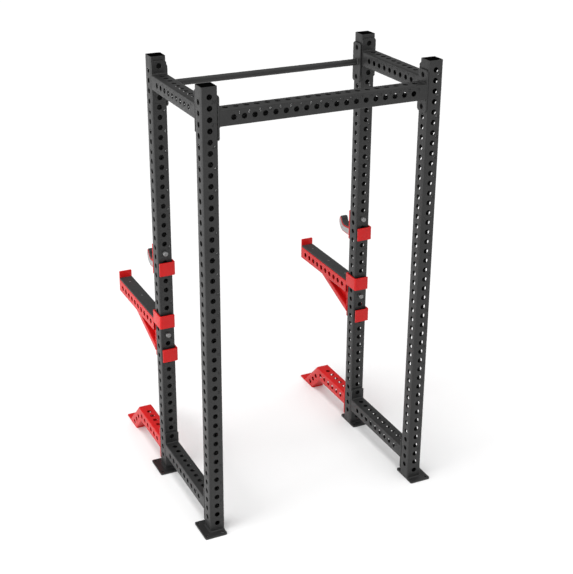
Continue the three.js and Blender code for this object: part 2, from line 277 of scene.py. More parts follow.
def rounded(corners, steps=4):
    """An outline through corners of (a, b, radius), each rounded with an arc."""
    outline = []
    count = len(corners)
    for i, (a, b, radius) in enumerate(corners):
        here = Vector((a, b))
        before = (Vector(corners[i - 1][:2]) - here).normalized()
        after = (Vector(corners[(i + 1) % count][:2]) - here).normalized()
        angle = before.angle(after)
        if radius == 0:
            outline.append((a, b))
            continue
        back = radius / math.tan(angle / 2)
        start = here + before * back
        end = here + after * back
        centre = here + (before + after).normalized() * radius / math.sin(angle / 2)
        for k in range(steps + 1):
            t = k / steps
            along = (start - centre).normalized().slerp((end - centre).normalized(), t)
            outline.append(tuple(centre + along * radius))
    return outline


def rectangle(width, height, radius, centre=(0, 0), steps=4):
    a, b = width / 2, height / 2
    signs = ((-1, -1), (1, -1), (1, 1), (-1, 1))
    return rounded([(centre[0] + i * a, centre[1] + j * b, radius) for i, j in signs], steps)


def chamfered(width, height, cut):
    a, b = width / 2, height / 2
    return [
        (-a + cut, -b), (a - cut, -b), (a, -b + cut), (a, b - cut),
        (a - cut, b), (-a + cut, b), (-a, b - cut), (-a, -b + cut),
    ]


def area(loop):
    return sum(a[0] * b[1] - b[0] * a[1] for a, b in zip(loop, loop[1:] + loop[:1])) / 2


def offset(loop, distance):
    """The loop moved to its left by `distance`, so an anticlockwise loop shrinks."""
    moved = []
    count = len(loop)
    for i in range(count):
        before = (Vector(loop[i]) - Vector(loop[i - 1])).normalized()
        after = (Vector(loop[(i + 1) % count]) - Vector(loop[i])).normalized()
        normal = Vector((-before.y - after.y, before.x + after.x)).normalized()
        reach = distance / max(normal.dot(Vector((-before.y, before.x))), LEAST_MITRE)
        moved.append(tuple(Vector(loop[i]) + normal * reach))
    return moved


def plate(outline, holes, thickness, edge=EDGE):
    """A flat plate in its own p, q plane, centred on s = 0, with eased edges."""
    loops = [outline if area(outline) > 0 else outline[::-1]]
    loops += [hole[::-1] if area(hole) > 0 else hole for hole in holes]
    eased = [offset(loop, edge) for loop in loops]
    half = thickness / 2
    layers = [(eased, half), (loops, half - edge), (loops, edge - half), (eased, -half)]
    points = []
    faces = []
    for outlines, height in layers:
        points += [(a, b, height) for loop in outlines for a, b in loop]
    total = sum(len(loop) for loop in loops)
    for layer in range(3):
        start = layer * total
        for loop in loops:
            count = len(loop)
            for i in range(count):
                j = (i + 1) % count
                faces.append([start + i, start + j, start + total + j, start + total + i])
            start += count
    flat = [[Vector((a, b, 0)) for a, b in loop] for loop in eased]
    for triangle in tessellate_polygon(flat):
        faces.append(list(triangle))
        faces.append([3 * total + i for i in triangle])
    return points, faces


def loft(rings):
    """A closed solid through rings of points, with flat ends."""
    points = [point for ring in rings for point in ring]
    count = len(rings[0])
    faces = [list(range(count)), list(range(len(points) - count, len(points)))]
    for layer in range(len(rings) - 1):
        for i in range(count):
            j = (i + 1) % count
            low = layer * count
            faces.append([low + i, low + j, low + count + j, low + count + i])
    return points, faces


def lathe(profile, sides=32):
    """A solid of revolution about s through (radius, s) points."""
    return loft([[(a, b, s) for a, b in circle(radius, sides)] for radius, s in profile])


def combined(operation, *shapes):
    """The first closed shape joined to the others, or cut by them, as one clean skin."""
    objects = []
    for shape in shapes:
        item = bpy.data.objects.new("part", to_mesh("part", shape, 1))
        bpy.context.scene.collection.objects.link(item)
        objects.append(item)
    first, *others = objects
    for other in others:
        step = first.modifiers.new("step", "BOOLEAN")
        step.operation = operation
        step.solver = "EXACT"
        step.object = other
    graph = bpy.context.evaluated_depsgraph_get()
    mesh = bpy.data.meshes.new_from_object(first.evaluated_get(graph))
    shape = [v.co.copy() for v in mesh.vertices], [list(f.vertices) for f in mesh.polygons]
    for item in objects:
        bpy.data.objects.remove(item)
    bpy.data.meshes.remove(mesh)
    return shape


# --- drilled square tube --------------------------------------------------------------------

def square_ring(half, corner):
    """Cross-section points: each face's flat in CELL_STEPS steps, then the arc of the corner after it.
    """
    flat = half - corner
    ring = []
    for face in range(4):
        angle = face * math.pi / 2
        normal = Vector((math.cos(angle), math.sin(angle)))
        along = Vector((-normal.y, normal.x))
        for i in range(CELL_STEPS + 1):
            ring.append(normal * half + along * flat * (2 * i / CELL_STEPS - 1))
        pivot = normal * flat + along * flat
        for i in range(1, CORNER_STEPS):
            turn = angle + math.pi / 2 * i / CORNER_STEPS
            ring.append(pivot + Vector((math.cos(turn), math.sin(turn))) * corner)
    return ring


RING_FACE = CELL_STEPS + CORNER_STEPS     # ring points from one face's start to the next's


def drilled_tube(levels, cells, side=TUBE, wall=WALL, corner=TUBE_CORNER, radius=HOLE_RADIUS,
                 caps=(True, True)):
    """A square tube along s with round holes through it.

    `levels` are (s, slant), where slant leans that level along q. `cells` maps a face (0 is +p,
    1 is +q, 2 is -p, 3 is -q) to {first level of a hole's cell: the hole's centre on s}.
    """
    half = side / 2
    inner_corner = max(corner - wall, INNER_CORNER)
    skins = [square_ring(half, corner), square_ring(half - wall, inner_corner)]
    count = len(skins[0])
    points = []
    faces = []
    index = {}

    def corner_point(skin, level, place):
        key = (skin, level, place % count)
        if key not in index:
            p, q = skins[skin][place % count]
            s, slant = levels[level]
            index[key] = len(points)
            points.append((p, q, s + slant * q))
        return index[key]

    def add_point(point):
        points.append(point)
        return len(points) - 1

    def hole(face, first, centre):
        angle = face * math.pi / 2
        normal = Vector((math.cos(angle), math.sin(angle)))
        along = Vector((-normal.y, normal.x))
        start = face * RING_FACE
        # The walk round the cell's edge starts at its low corner and goes across first.
        edge = [(0, i) for i in range(CELL_STEPS)]
        edge += [(i, CELL_STEPS) for i in range(CELL_STEPS)]
        edge += [(CELL_STEPS, CELL_STEPS - i) for i in range(CELL_STEPS)]
        edge += [(CELL_STEPS - i, 0) for i in range(CELL_STEPS)]
        sides = len(edge)
        rows = [(radius + HOLE_CHAMFER, half), (radius, half - HOLE_CHAMFER),
                (radius, half - wall)]
        loops = []
        for size, depth in rows:
            loop = []
            for k in range(sides):
                turn = 2 * math.pi * k / sides - 3 * math.pi / 4
                flat = normal * depth + along * size * math.cos(turn)
                loop.append(add_point((flat.x, flat.y, centre + size * math.sin(turn))))
            loops.append(loop)
        rims = [[corner_point(skin, first + step, start + across) for step, across in edge]
                for skin in (0, 1)]
        bands = [rims[0], *loops, rims[1]]
        for a, b in zip(bands, bands[1:]):
            for k in range(sides):
                j = (k + 1) % sides
                faces.append([a[k], a[j], b[j], b[k]])

    last = len(levels) - 1
    for face in range(4):
        taken = set()
        for first, centre in cells.get(face, {}).items():
            hole(face, first, centre)
            taken.update(range(first, first + CELL_STEPS))
        start = face * RING_FACE
        for level in range(last):
            places = list(range(start + CELL_STEPS, start + RING_FACE))
            if level not in taken:
                places += range(start, start + CELL_STEPS)
            for place in places:
                for skin in (0, 1):
                    faces.append([
                        corner_point(skin, level, place), corner_point(skin, level, place + 1),
                        corner_point(skin, level + 1, place + 1), corner_point(skin, level + 1, place),
                    ])
    for wanted, level in zip(caps, (0, last)):
        if wanted:
            for place in range(count):
                faces.append([
                    corner_point(0, level, place), corner_point(0, level, place + 1),
                    corner_point(1, level, place + 1), corner_point(1, level, place),
                ])
    return points, faces


def even_levels(start, first, cells, end):
    """Unslanted levels: the tube's own ends, and STEP apart through `cells` cells from `first`."""
    inner = [first + STEP * i for i in range(round(cells * CELL_STEPS) + 1)]
    return [(s, 0) for s in [start, *inner, end]]


def row(levels, centres):
    """The cells of a row of holes: where each one starts among the levels."""
    found = {}
    for centre in centres:
        start = min(range(len(levels)), key=lambda i: abs(levels[i][0] - (centre - PITCH / 2)))
        found[start] = centre
    return found


# --- small fittings -------------------------------------------------------------------------

BEAD = 4.0                        # a weld bead's size
BEAD_STEP = 2.2                   # between the ripples of a straight bead
BOLT_SIDES = 24


def bead(path, size=BEAD, closed=False):
    """A weld bead along a corner: path entries are (corner point, one wall, other wall)."""
    rings = []
    for i, (point, a, b) in enumerate(path):
        ripple = size * (1 + 0.07 * math.sin(i * 2.1) + 0.05 * math.sin(i * 0.7))
        point, a, b = Vector(point), Vector(a), Vector(b)
        rings.append([
            point - (a + b) * 0.4, point + a * ripple - b * 0.2,
            point + (a * 0.75 + b * 0.42) * ripple, point + (a * 0.42 + b * 0.75) * ripple,
            point + b * ripple - a * 0.2,
        ])
    points = [point for ring in rings for point in ring]
    faces = []
    count = len(rings[0])
    spans = len(rings) if closed else len(rings) - 1
    for layer in range(spans):
        low = layer * count
        high = (layer + 1) % len(rings) * count
        for i in range(count):
            j = (i + 1) % count
            faces.append([low + i, low + j, high + j, high + i])
    if not closed:
        faces += [list(range(count)), list(range(len(points) - count, len(points)))]
    return points, faces


def straight_bead(start, end, a, b, size=BEAD):
    start, end = Vector(start), Vector(end)
    steps = max(2, round((end - start).length / BEAD_STEP))
    return bead([(start.lerp(end, i / steps), a, b) for i in range(steps + 1)], size)


def hexagon(across):
    """Drawn with as many points as a bolt's circles, so that the two can be lofted together."""
    points = []
    for i in range(BOLT_SIDES):
        turn = 2 * math.pi * i / BOLT_SIDES
        reach = across / 2 / math.cos((turn % (math.pi / 3)) - math.pi / 6)
        points.append((reach * math.cos(turn), reach * math.sin(turn)))
    return points


def socket_bolt(radius, head, shank, length):
    """A socket-head bolt along s: its head's face at 0, its shank towards +s."""
    socket = radius * 0.9             # across its flats
    flare, head_ease, tip_ease, tip = 0.4, 1.2, 1.5, 2

    def ring(outline, s):
        return [(a, b, s) for a, b in outline]

    return loft([
        ring(hexagon(socket), head * 0.6), ring(hexagon(socket), flare),
        ring(hexagon(radius), 0), ring(circle(radius - head_ease, BOLT_SIDES), 0),
        ring(circle(radius, BOLT_SIDES), head_ease), ring(circle(radius, BOLT_SIDES), head),
        ring(circle(shank, BOLT_SIDES), head), ring(circle(shank, BOLT_SIDES), length - tip),
        ring(circle(shank - tip_ease, BOLT_SIDES), length),
    ])


# --- hole numbers ---------------------------------------------------------------------------

DIGIT_WIDTH = 6.6
DIGIT_HEIGHT = 13.5
DIGIT_STEP = 10.4
SLOT_WIDTH = 2.6
SLOT_CORNER = 0.4
BRIDGE = 0.5                      # steel left between one slot and the next

# The strokes of each digit, as on a seven-bar display: a is the top bar, then clockwise to f,
# and g is the middle one.
STROKES = {
    "0": "abcdef", "1": "bc", "2": "abged", "3": "abgcd", "4": "fgbc",
    "5": "afgcd", "6": "afgcde", "7": "abc", "8": "abcdefg", "9": "abcdfg",
}
BAR_PLACES = {                    # middle in digit widths and heights, and whether it stands up
    "a": (0, 0.5, False), "g": (0, 0, False), "d": (0, -0.5, False),
    "b": (0.5, 0.25, True), "c": (0.5, -0.25, True),
    "e": (-0.5, -0.25, True), "f": (-0.5, 0.25, True),
}


def number_slots(number, face, right, up, out, offset_from_hole):
    """Cutters for a number cut through a tube's wall, beside the hole centred at `face`."""
    shell = Shell()
    digits = str(number)
    place = frame_of(right, up, out, face)
    right_offset, up_offset = offset_from_hole
    for i, digit in enumerate(digits):
        middle = right_offset + (i - (len(digits) - 1) / 2) * DIGIT_STEP
        for bar in STROKES[digit]:
            across, high, standing = BAR_PLACES[bar]
            long = DIGIT_HEIGHT / 2 if standing else DIGIT_WIDTH
            long -= SLOT_WIDTH + 2 * BRIDGE
            size = (SLOT_WIDTH, long) if standing else (long, SLOT_WIDTH)
            centre = (middle + across * DIGIT_WIDTH, up_offset + high * DIGIT_HEIGHT)
            outline = rectangle(*size, SLOT_CORNER, centre, steps=2)
            rings = [[(a, b, depth) for a, b in outline] for depth in (-WALL - 1, 1)]
            shell.add(loft(rings), place)
    return shell.shape()


# --- uprights -------------------------------------------------------------------------------

END_HOLES = [55 + PITCH * i for i in range(44)]       # heights, through the front and back
SIDE_HOLES = [80 + PITCH * i for i in range(43)]
UPRIGHT_NUMBER = (20, -23)        # a number's middle, right of its hole's centre and above it
FLOOR_PLATE = 10
ANCHOR_RADIUS = 7


def upright_tube():
    """Along s from the floor plate to the top; p is across the cage and q along it."""
    first = END_HOLES[0] - PITCH / 2
    levels = even_levels(FLOOR_PLATE + GAP, first, len(END_HOLES), HEIGHT)
    side_row, end_row = row(levels, SIDE_HOLES), row(levels, END_HOLES)
    tube = drilled_tube(levels, {0: side_row, 1: end_row, 2: side_row, 3: end_row})
    slots = Shell()
    for number, level in enumerate(END_HOLES[1::2], 1):
        for way in (-1, 1):
            face = (0, way * TUBE / 2, level)
            slots.add(number_slots(number, face, (-way, 0, 0), Z, (0, way, 0), UPRIGHT_NUMBER))
    return combined("DIFFERENCE", tube, slots.shape())


def floor_plate(side):
    """Flush with the tube on the inner side; p runs across the cage."""
    width, depth, inset, corner = 115, 150, 17.5, 8
    middle = side * (width - TUBE) / 2
    holes = [
        circle(ANCHOR_RADIUS, 20, (middle + i * (width / 2 - inset), j * (depth / 2 - inset)))
        for i in (-1, 1) for j in (-1, 1)
    ]
    steel = plate(rectangle(width, depth, corner, (middle, 0)), holes, FLOOR_PLATE)
    shell = Shell().add(steel, move(0, 0, FLOOR_PLATE / 2))
    half = TUBE / 2
    outer = side * half
    top = FLOOR_PLATE
    shell.add(straight_bead((-half, half, top), (half, half, top), Y, Z))
    shell.add(straight_bead((-half, -half, top), (half, -half, top), FORWARD, Z))
    shell.add(straight_bead((outer, -half, top), (outer, half, top), (side, 0, 0), Z))
    return shell.shape()


def end_cap():
    """A moulded plug with a shallow dish in its top."""
    width = TUBE - 2 * WALL - 2 * GAP
    # Each ring from the bottom up: how much narrower it is, its corner, its depth below the top.
    rings = [(3, 2, 18), (0, 3, 14), (0, 3, 1), (2, 2.5, 0), (9, 2, 0.2), (12, 2, 1.6)]
    return loft([
        [(a, b, HEIGHT - depth) for a, b in rectangle(width - less, width - less, corner)]
        for less, corner, depth in rings
    ])


# --- crossmembers ---------------------------------------------------------------------------

FLANGE = 8
FLANGE_HEIGHT = 200
FLANGE_CHAMFER = 9
BOLT_RISE = 1.5 * PITCH           # of a flange's two bolts, above and below its middle
BOLT_SINK = 3                     # of a bolt's head, below the flange's face
BEAM_MARGIN = 30                  # about what is left undrilled at a beam's two ends together
BEAM_NUMBER = (23, 18)            # a number's middle, right of its hole's centre and above it
BAR_RADIUS = 16.5
BAR_SIDES = 48
BAR_BITE = 2                      # how far the round bar goes into its flanges
BAR_BEAD = 4.5


def flange_plate():
    """In the p, q plane, with the two bolt holes that the tube leaves clear."""
    holes = [circle(HOLE_RADIUS, 28, (0, i * BOLT_RISE)) for i in (-1, 1)]
    return plate(chamfered(TUBE, FLANGE_HEIGHT, FLANGE_CHAMFER), holes, FLANGE)


def flange_bead(q, face, up, along):
    """The weld of a tube's top or bottom wall to its flange's face."""
    half = TUBE / 2 - 3               # short of the tube's rounded corners
    return straight_bead((-half, q, face), (half, q, face), (0, up, 0), (0, 0, along))


def flange_bolts(face, along, q=0):
    """Two socket bolts through a flange's face, their heads sunk in its holes."""
    shell = Shell()
    for up in (-1, 1):
        place = frame_of(X, Y, (0, 0, along), (0, q + up * BOLT_RISE, face + along * BOLT_SINK))
        shell.add(socket_bolt(radius=12.2, head=4.6, shank=11.5, length=24), place)
    return shell.shape()


def beam_tube(tube_end):
    """Drilled and numbered, along s to `tube_end` both ways; q is up."""
    cells = round((2 * tube_end - BEAM_MARGIN) / PITCH)
    count = cells - 1
    sides = [PITCH * (i - (count - 1) / 2) for i in range(count)]
    tops = [PITCH * (i - (cells - 1) / 2) for i in range(cells)]
    levels = even_levels(-tube_end, -cells * PITCH / 2, cells, tube_end)
    side_row, top_row = row(levels, sides), row(levels, tops)
    tube = drilled_tube(levels, {0: side_row, 1: top_row, 2: side_row, 3: top_row})
    slots = Shell()
    for number, level in enumerate(reversed(sides), 1):
        for way in (-1, 1):
            face = (way * TUBE / 2, 0, level)
            slots.add(number_slots(number, face, (0, 0, -way), Y, (way, 0, 0), BEAM_NUMBER))
    return combined("DIFFERENCE", tube, slots.shape())


def crossmember(space, bar_radius=None):
    """A drilled tube, or a round bar, between two flanges; s is along it and q up."""
    reach = space / 2 - GAP
    tube_end = reach - FLANGE
    shell = Shell()
    if bar_radius:
        bar_end = tube_end + BAR_BITE
        shell.add(lathe([(bar_radius, -bar_end), (bar_radius, bar_end)], BAR_SIDES))
    else:
        shell.add(beam_tube(tube_end))
    for end in (-1, 1):
        shell.add(flange_plate(), move(0, 0, end * (reach - FLANGE / 2)))
        face = end * tube_end
        if bar_radius:
            path = [((a, b, face), (a / bar_radius, b / bar_radius, 0), (0, 0, -end))
                    for a, b in circle(bar_radius, BAR_SIDES)]
            shell.add(bead(path, BAR_BEAD, closed=True))
        else:
            for up in (-1, 1):
                shell.add(flange_bead(up * TUBE / 2, face, up, -end))
    return shell.shape()


def crossmember_bolts(space):
    """The bolts of both its flanges."""
    face = space / 2 - GAP - FLANGE
    shell = Shell()
    for end in (-1, 1):
        shell.add(flange_bolts(end * face, end))
    return shell.shape()


# --- front feet -----------------------------------------------------------------------------

FOOT_Z = 130
FOOT_BEND = 370                   # where the two centre lines meet, in front of the upright
FOOT_SIDE_HOLES = [90 + PITCH * i for i in range(6)]
FOOT_TOP_HOLES = [115 + PITCH * i for i in range(5)]
FOOT_SLOPE_HOLES = [42 + PITCH * i for i in range(3)]     # on from the bend
FOOT_PLATE = 8
FOOT_PLATE_START = 440
FOOT_PLATE_END = 600
FOOT_BEAD = 5
FLANGE_FRONT = TUBE / 2 + GAP + FLANGE


def foot_frame():
    """p is across, q up and s forward from the upright's axis."""
    mitre = math.tan(math.radians(22.5))
    first = FOOT_SIDE_HOLES[0] - PITCH / 2
    levels = even_levels(FLANGE_FRONT, first, len(FOOT_TOP_HOLES), 0)[:-1]
    last = levels[-1][0]
    stretch = (FOOT_BEND - last) / CELL_STEPS
    levels += [(last + stretch * i, mitre * i / CELL_STEPS) for i in range(1, CELL_STEPS + 1)]
    side_row, top_row = row(levels, FOOT_SIDE_HOLES), row(levels, FOOT_TOP_HOLES)
    shell = Shell()
    level_tube = drilled_tube(
        levels, {0: side_row, 1: top_row, 2: side_row, 3: top_row}, caps=(True, False))
    shell.add(level_tube, move(0, FOOT_Z, 0))

    slope_end = (FOOT_Z - FOOT_PLATE - GAP) * math.sqrt(2)
    even_steps = (len(FOOT_SLOPE_HOLES) - 1) * CELL_STEPS
    first = FOOT_SLOPE_HOLES[0] - PITCH / 2
    slope = [(0, -mitre)] + [(first + STEP * i, 0) for i in range(even_steps + 1)]
    last = slope[-1][0]
    stretch = (slope_end - last) / CELL_STEPS
    slope += [(last + stretch * i, i / CELL_STEPS) for i in range(1, CELL_STEPS + 1)]
    slope_row = row(slope, FOOT_SLOPE_HOLES)
    leg = drilled_tube(slope, {0: slope_row, 2: slope_row}, caps=(False, True))
    lean = math.sqrt(0.5)
    shell.add(leg, frame_of(X, (0, lean, lean), (0, -lean, lean), (0, FOOT_Z, FOOT_BEND)))

    shell.add(flange_plate(), move(0, FOOT_Z, FLANGE_FRONT - FLANGE / 2))
    for up in (-1, 1):
        shell.add(flange_bead(FOOT_Z + up * TUBE / 2, FLANGE_FRONT, up, 1))
    return shell.shape()


def foot_plate():
    """Flat under the foot's end, which is welded to it along the toe."""
    length = FOOT_PLATE_END - FOOT_PLATE_START
    shell = Shell()
    shell.add(plate(rectangle(TUBE, length, radius=6), [], FOOT_PLATE), move(0, 0, FOOT_PLATE / 2))
    toe = FOOT_BEND + FOOT_Z + TUBE / math.sqrt(2) - FOOT_PLATE
    forward = toe - (FOOT_PLATE_START + FOOT_PLATE_END) / 2
    half = TUBE / 2 - 4               # short of the plate's edges
    start, end = (-half, -forward, FOOT_PLATE), (half, -forward, FOOT_PLATE)
    shell.add(straight_bead(start, end, FORWARD, Z, FOOT_BEAD))
    return shell.shape()


# --- what J-cups and spotter arms share, drawn about the upright's axis ----------------------

PIN_RADIUS = 12.5
PIN_END = 54                      # the pin's nose, behind the upright
PIN_SIDES = 40
PLATE_FRONT = -46                 # the mounting plate's two faces
PLATE_BACK = -38
MOUNT_START = GAP - PLATE_FRONT   # what is welded to the plate starts here, measured forward
STRAP_ROOT = 20                   # where a strap starts inside the plate
STRAP_SIDE = 46                   # its outer face beside the upright
STRAP_SIDE_THICKNESS = 6.5
STRAP_BACK = 57.5                 # its outer face behind the upright
STRAP_BACK_THICKNESS = 7
PAD_WIDTH = 66
PAD_SHIFT = 1                     # towards the strap's side
PAD_CLEARANCE = 2                 # from the upright's back face
PAD_MARGIN = 3                    # from the strap's top and bottom edges


def strap(side, bottom, top, tail):
    """Leaves the mounting plate, passes one side of the upright and hooks behind it."""
    outer = side * STRAP_SIDE
    inner = side * (STRAP_SIDE - STRAP_SIDE_THICKNESS)
    back_inner = STRAP_BACK - STRAP_BACK_THICKNESS
    outline = rounded([
        (side * STRAP_ROOT, PLATE_FRONT, 0), (outer, PLATE_FRONT, 1.5), (outer, STRAP_BACK, 9),
        (-side * tail, STRAP_BACK, 1), (-side * tail, back_inner, 1),
        (inner, back_inner, 2), (inner, PLATE_BACK, 2), (side * STRAP_ROOT, PLATE_BACK, 0),
    ], steps=6)
    return Shell().add(plate(outline, [], top - bottom), move(0, 0, (bottom + top) / 2)).shape()


def mounting_plate(bottom, top, pin_z):
    """Lies in front of the upright, bored for the pin that is welded into it."""
    centre = (0, (PLATE_FRONT + PLATE_BACK) / 2, (bottom + top) / 2)
    bore = circle(PIN_RADIUS + GAP, 32, (0, pin_z - centre[2]))
    shape = plate(rectangle(TUBE, top - bottom, radius=5), [bore], PLATE_BACK - PLATE_FRONT)
    return Shell().add(shape, frame_of(X, Z, FORWARD, centre)).shape()


def locking_pin(z):
    """Plated pin: a flat end in the mounting plate and a chamfered nose behind the upright."""
    nose = PIN_END - PLATE_FRONT
    profile = [                       # how much thinner it is, and where along it
        (1, 0.2), (0, 1.2), (0, nose - 3.2), (0.5, nose - 2.2), (2.2, nose - 0.3), (3, nose),
    ]
    shape = lathe([(PIN_RADIUS - less, along) for less, along in profile], PIN_SIDES)
    return Shell().add(shape, frame_of(X, Z, Y, (0, PLATE_FRONT, z))).shape()


def strap_pad(side, bottom, top):
    """The pad between a strap and the upright's back face."""
    low, high = TUBE / 2 + PAD_CLEARANCE, STRAP_BACK - STRAP_BACK_THICKNESS - GAP
    outline = rectangle(PAD_WIDTH, top - bottom - 2 * PAD_MARGIN, radius=3)
    shape = plate(outline, [], high - low, SOFT_EDGE)
    centre = (side * PAD_SHIFT, (low + high) / 2, (bottom + top) / 2)
    return Shell().add(shape, frame_of(X, Z, FORWARD, centre)).shape()


def arc(centre, radius, start, end, steps):
    """Points on an arc between two angles in degrees."""
    turns = [math.radians(start + (end - start) * i / steps) for i in range(steps + 1)]
    return [(centre[0] + radius * math.cos(t), centre[1] + radius * math.sin(t)) for t in turns]


def from_side(outline, width, x, edge=EDGE):
    """A plate cut to a (forward, up) outline, standing across x."""
    return Shell().add(plate(outline, [], width, edge), frame_of(FORWARD, Z, X, (x, 0, 0))).shape()


# --- J-cups ---------------------------------------------------------------------------------

CUP_PIN_Z = 1255
CUP_BOTTOM = 1120
CUP_TOP = 1284
CUP_STRAP = (1140, 1210)
CUP_X = -5                        # the hook's middle
CUP_CORE = 35                     # the hook's width between its cheeks
CUP_CHEEK = 2
CUP_CHEEK_INSET = 6               # of a cheek's outline inside the hook's
CUP_CHEEK_EDGE = 0.4
CUP_LINER = 10
# (forward, up) of the hook's outer curve and of its saddle, and their radii.
CUP_OUTER = ((146, 1172), 52)
CUP_INNER = ((142, 1193), 32)
CUP_OUTER_END = 14                # degrees up the hook's tip
CUP_INNER_END = -6
CUP_TIP = (190, 1195.5)
CUP_SEAT_FRONT = (85, 1165)       # the flat behind the saddle
CUP_SEAT_BACK = 1166
LINER_TIP = [(186, 1198), (184, 1201), (172, 1202)]


def hook_outline(inset):
    """The hook's side, `inset` inside the core's outline."""
    outer, outer_radius = CUP_OUTER
    inner, inner_radius = CUP_INNER
    outline = [(MOUNT_START, CUP_BOTTOM + inset)]
    outline += arc(outer, outer_radius - inset, -90, CUP_OUTER_END, steps=14)
    outline += [(CUP_TIP[0] - inset / 2, CUP_TIP[1] - inset)]
    outline += arc(inner, inner_radius + inset, CUP_INNER_END, -90, steps=10)
    outline += [(CUP_SEAT_FRONT[0], CUP_SEAT_FRONT[1] - inset), (MOUNT_START, CUP_SEAT_BACK - inset)]
    return outline


def liner_outline():
    """The plastic on the saddle's floor, up the inside of the hook's tip."""
    saddle, radius = CUP_INNER
    front, floor = CUP_SEAT_FRONT
    outline = [(MOUNT_START, CUP_SEAT_BACK + GAP), (front, floor + GAP)]
    outline += arc(saddle, radius - GAP, -90, CUP_INNER_END, steps=10)
    outline += LINER_TIP
    outline += arc(saddle, radius - CUP_LINER, 0, -90, steps=8)
    outline += [(front, floor + CUP_LINER), (MOUNT_START, CUP_SEAT_BACK + CUP_LINER)]
    return outline


def j_cup_pieces():
    """Each piece's part, kind, shape and material."""
    cheek_middle = CUP_CORE / 2 + GAP + CUP_CHEEK / 2
    cheek = hook_outline(CUP_CHEEK_INSET)
    left_cheek, right_cheek = (
        from_side(cheek, CUP_CHEEK, CUP_X + way * cheek_middle, CUP_CHEEK_EDGE) for way in (-1, 1)
    )
    bracket = combined(
        "UNION", mounting_plate(CUP_BOTTOM, CUP_TOP, CUP_PIN_Z), strap(-1, *CUP_STRAP, TUBE / 2))
    return [
        ("bracket", "steel", bracket, RED),
        ("hook", "core", from_side(hook_outline(0), CUP_CORE, CUP_X), RED),
        ("liner", "plastic", from_side(liner_outline(), CUP_CORE, CUP_X, SOFT_EDGE), LINER),
        ("left_cheek", "plate", left_cheek, STEEL),
        ("right_cheek", "plate", right_cheek, STEEL),
        ("pin", "bar", locking_pin(CUP_PIN_Z), ZINC),
        ("pad", "rubber", strap_pad(-1, *CUP_STRAP), BLACK),
    ]


# --- spotter arms ---------------------------------------------------------------------------

ARM_PIN_Z = 805
ARM_BOTTOM = 657
ARM_TOP = 920
ARM_UPPER_STRAP = (850, 920)
ARM_LOWER_STRAP = (657, 728)
ARM_UPPER_TAIL = 33               # how far each strap hooks past the upright's middle
ARM_LOWER_TAIL = 36
ARM_X = 11                        # the beam's middle
ARM_Z = 836
ARM_SIDE = 70
ARM_CORNER = 4
ARM_HOLES = [90 + PITCH * i for i in range(10)]
ARM_HOLE_RADIUS = 14
ARM_REACH = 587
ARM_STOP = 8
ARM_STOP_TOP = 918
ARM_LINER = 10
ARM_LINER_START = 50
ARM_SCREWS = (120, 318, 516)
SCREW_PROUD = 0.15                # of a screw's head above the liner
BRACE_FRONT = 352                 # where the brace's underside meets the beam
BRACE_BOTTOM = 685
BRACE_WIDTH = 60
BRACE_DEPTH = 30
BRACE_CORNER = 4
BRACE_WEB = 7
BRACE_WEB_EDGE = 0.3


def arm_beam():
    first = ARM_HOLES[0] - PITCH / 2
    levels = even_levels(MOUNT_START, first, len(ARM_HOLES), ARM_REACH)
    cells = row(levels, ARM_HOLES)
    tube = drilled_tube(
        levels, {0: cells, 2: cells}, side=ARM_SIDE, corner=ARM_CORNER, radius=ARM_HOLE_RADIUS)
    return Shell().add(tube, frame_of(X, Z, FORWARD, (ARM_X, 0, ARM_Z))).shape()


def arm_end_stop():
    low = ARM_Z - ARM_SIDE / 2
    stop = plate(rectangle(ARM_SIDE, ARM_STOP_TOP - low, radius=4), [], ARM_STOP)
    centre = (ARM_X, -ARM_REACH - GAP - ARM_STOP / 2, (low + ARM_STOP_TOP) / 2)
    return Shell().add(stop, frame_of(X, Z, FORWARD, centre)).shape()


def arm_brace():
    """A sloping tube from the mounting plate up to the beam, and a web that fills the corner."""
    top = ARM_Z - ARM_SIDE / 2 - GAP
    slope = (top - BRACE_BOTTOM) / (BRACE_FRONT - MOUNT_START)
    stretch = math.hypot(1, slope)        # height across the tube for each millimetre of depth

    def forward_at(start):
        """Where a line along the brace that leaves the plate at `start` meets the beam."""
        return MOUNT_START + (top - start) / slope

    outline = rectangle(BRACE_WIDTH, BRACE_DEPTH, BRACE_CORNER, (0, BRACE_DEPTH / 2))
    section = [(across, BRACE_BOTTOM + depth * stretch) for across, depth in outline]
    tube = loft([
        [(MOUNT_START, start, across) for across, start in section],
        [(forward_at(start), top, across) for across, start in section],
    ])
    seat = BRACE_BOTTOM + (BRACE_DEPTH - WALL / 2) * stretch
    web = [(MOUNT_START, top), (MOUNT_START, seat), (forward_at(seat), top)]
    place = frame_of(FORWARD, Z, X, (ARM_X, 0, 0))
    return combined(
        "UNION", Shell().add(tube, place).shape(), from_side(web, BRACE_WEB, ARM_X, BRACE_WEB_EDGE))


def arm_liner():
    top = ARM_Z + ARM_SIDE / 2
    outline = rectangle(ARM_SIDE, ARM_REACH - ARM_LINER_START, radius=1.5)
    thickness = ARM_LINER - GAP
    place = move(ARM_X, -(ARM_REACH + ARM_LINER_START) / 2, top + GAP + thickness / 2)
    return Shell().add(plate(outline, [], thickness, SOFT_EDGE), place).shape()


def arm_screws():
    """The socket screws that hold the liner down."""
    shell = Shell()
    top = ARM_Z + ARM_SIDE / 2 + ARM_LINER
    for forward in ARM_SCREWS:
        place = frame_of(X, Y, (0, 0, -1), (ARM_X, -forward, top + SCREW_PROUD))
        shell.add(socket_bolt(radius=5.5, head=2, shank=3, length=8), place)
    return shell.shape()


